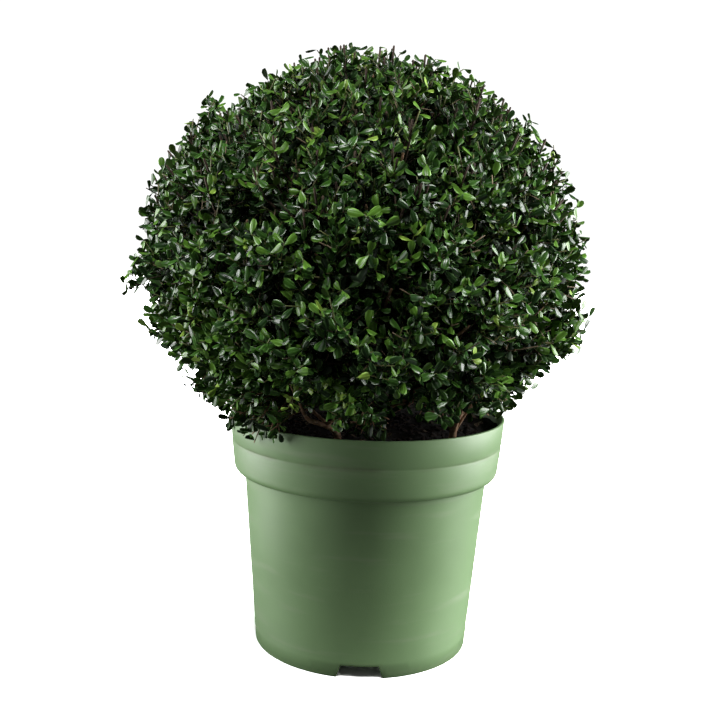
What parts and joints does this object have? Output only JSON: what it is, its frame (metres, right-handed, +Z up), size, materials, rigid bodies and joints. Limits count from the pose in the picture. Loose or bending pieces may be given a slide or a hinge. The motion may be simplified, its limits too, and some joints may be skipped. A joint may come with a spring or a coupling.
{
  "type": "potted japanese holly ball",
  "caption": "Clipped evergreen ball of small dark green leaves on a short trunk with low side stems, growing in a tapered nursery pot with a wide collar.",
  "frame": {"origin": "centre of the pot's underside, on the ground", "axes": "+Z up, +X to the right in the picture, +Y away from the camera"},
  "size_m": [0.4833, 0.4836, 0.6447],
  "materials": {
    "pot": "matte, sage green, lightly scuffed",
    "soil": "rough, dark brown",
    "bark": "rough, light brown",
    "leaf": "glossy, dark green"
  },
  "bodies": {
    "root": {"pot": "pot", "potting_soil": "soil", "trunk": "bark", "bough_front": "bark", "bough_right": "bark", "bough_back_right": "bark", "bough_back_left": "bark", "bough_left": "bark", "low_stem_front_left": "bark", "low_spray_front_left": "leaf", "low_stem_front_right": "bark", "low_spray_front_right": "leaf", "low_stem_back_right": "bark", "low_spray_back_right": "leaf", "low_stem_back": "bark", "low_spray_back": "leaf", "low_stem_left": "bark", "low_spray_left": "leaf", "clipped_ball": "leaf"}
  },
  "joints": []
}
